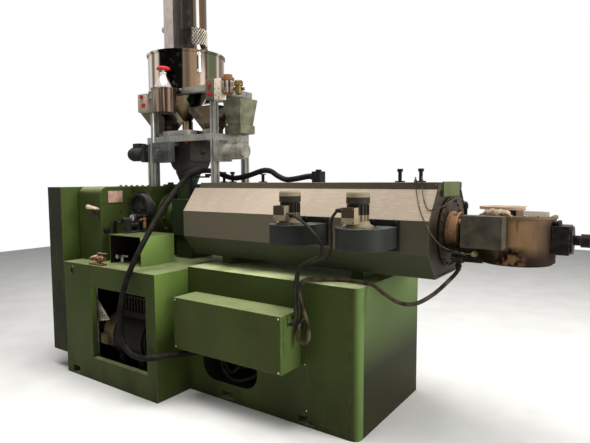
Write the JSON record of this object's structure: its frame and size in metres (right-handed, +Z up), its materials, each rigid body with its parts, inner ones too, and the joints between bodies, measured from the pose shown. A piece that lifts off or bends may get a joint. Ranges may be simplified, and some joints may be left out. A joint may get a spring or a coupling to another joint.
{
  "type": "plastic extruder",
  "caption": "Single-screw plastic extruder with belt-driven gearbox, insulated barrel cover with cooling blowers, dosing hopper station and round die head",
  "frame": {"origin": "on the floor below the barrel axis, at the middle of the main base's underside", "axes": "+X runs with the melt from drive to die, +Y to the back of the machine, +Z up"},
  "size_m": [3.694, 1.2387, 3.162],
  "materials": {
    "alu": "bare extruded aluminium",
    "black_plastic": "matt black plastic",
    "black_steel": "blackened steel",
    "blue_grey": "blue-grey blower paint",
    "board": "pale insulation board",
    "brass_parts": "dull brass",
    "cowl_paint": "light beige motor paint",
    "dark_paint": "dark motor paint, dull",
    "green_paint": "worn satin enamel with chips and dust",
    "grey_paint": "light warm grey sheet paint, dusty",
    "grey_plastic": "grey plastic boxes",
    "heat_tint": "stainless shroud with heat tint and burnt residue",
    "polished_steel": "polished stainless sheet",
    "rubber_hose": "black rubber conduit",
    "rusty_steel": "rusted clamp ring",
    "steel": "plain machined steel"
  },
  "bodies": {
    "root": {"base_frame": "green_paint", "base_front_panel": "green_paint", "terminal_box": "green_paint", "terminal_box_cover": "green_paint", "stand_frame": "green_paint", "stand_panel": "green_paint", "belt_guard": "green_paint", "shaft_collars": "green_paint", "gearbox_hood": "green_paint", "hood_handle": "steel", "gearbox_casing": "green_paint", "drive_motor": "dark_paint", "motor_end_bell": "cowl_paint", "motor_grille": "steel", "coupling_guard": "green_paint", "oil_unit": "dark_paint", "oil_cooler": "dark_paint", "water_valve": "brass_parts", "thrust_housing": "green_paint", "feed_section": "steel", "barrel": "steel", "cover_shell": "grey_paint", "cover_end_plates": "grey_paint", "cover_top_lid": "grey_paint", "cover_bracket": "green_paint", "terminal_posts": "black_plastic", "blower_housing_a": "blue_grey", "blower_housing_b": "blue_grey", "blower_motor_a": "cowl_paint", "blower_motor_b": "cowl_paint", "barrel_flange": "rusty_steel", "die_adapter": "black_steel", "die_head": "heat_tint", "die_terminal_box": "grey_paint", "die_outlet": "black_steel", "die_insulation": "board", "feed_neck": "dark_paint", "mixer_bin": "black_plastic", "mixer_plate": "alu", "hopper_cone": "polished_steel", "hopper_drum": "polished_steel", "hopper_lid": "polished_steel", "loader_body": "polished_steel", "loader_mesh": "black_steel", "loader_column": "alu", "dosing_hopper_left": "polished_steel", "dosing_drive_left": "dark_paint", "dosing_hopper_right": "polished_steel", "dosing_drive_right": "cowl_paint", "control_boxes": "grey_plastic", "side_hopper": "grey_paint", "hopper_frame": "alu", "main_conduit": "rubber_hose", "blower_lead_a": "rubber_hose", "blower_lead_b": "rubber_hose", "die_conduit": "rubber_hose", "sensor_lead_a": "rubber_hose", "sensor_lead_b": "rubber_hose"}
  },
  "joints": []
}
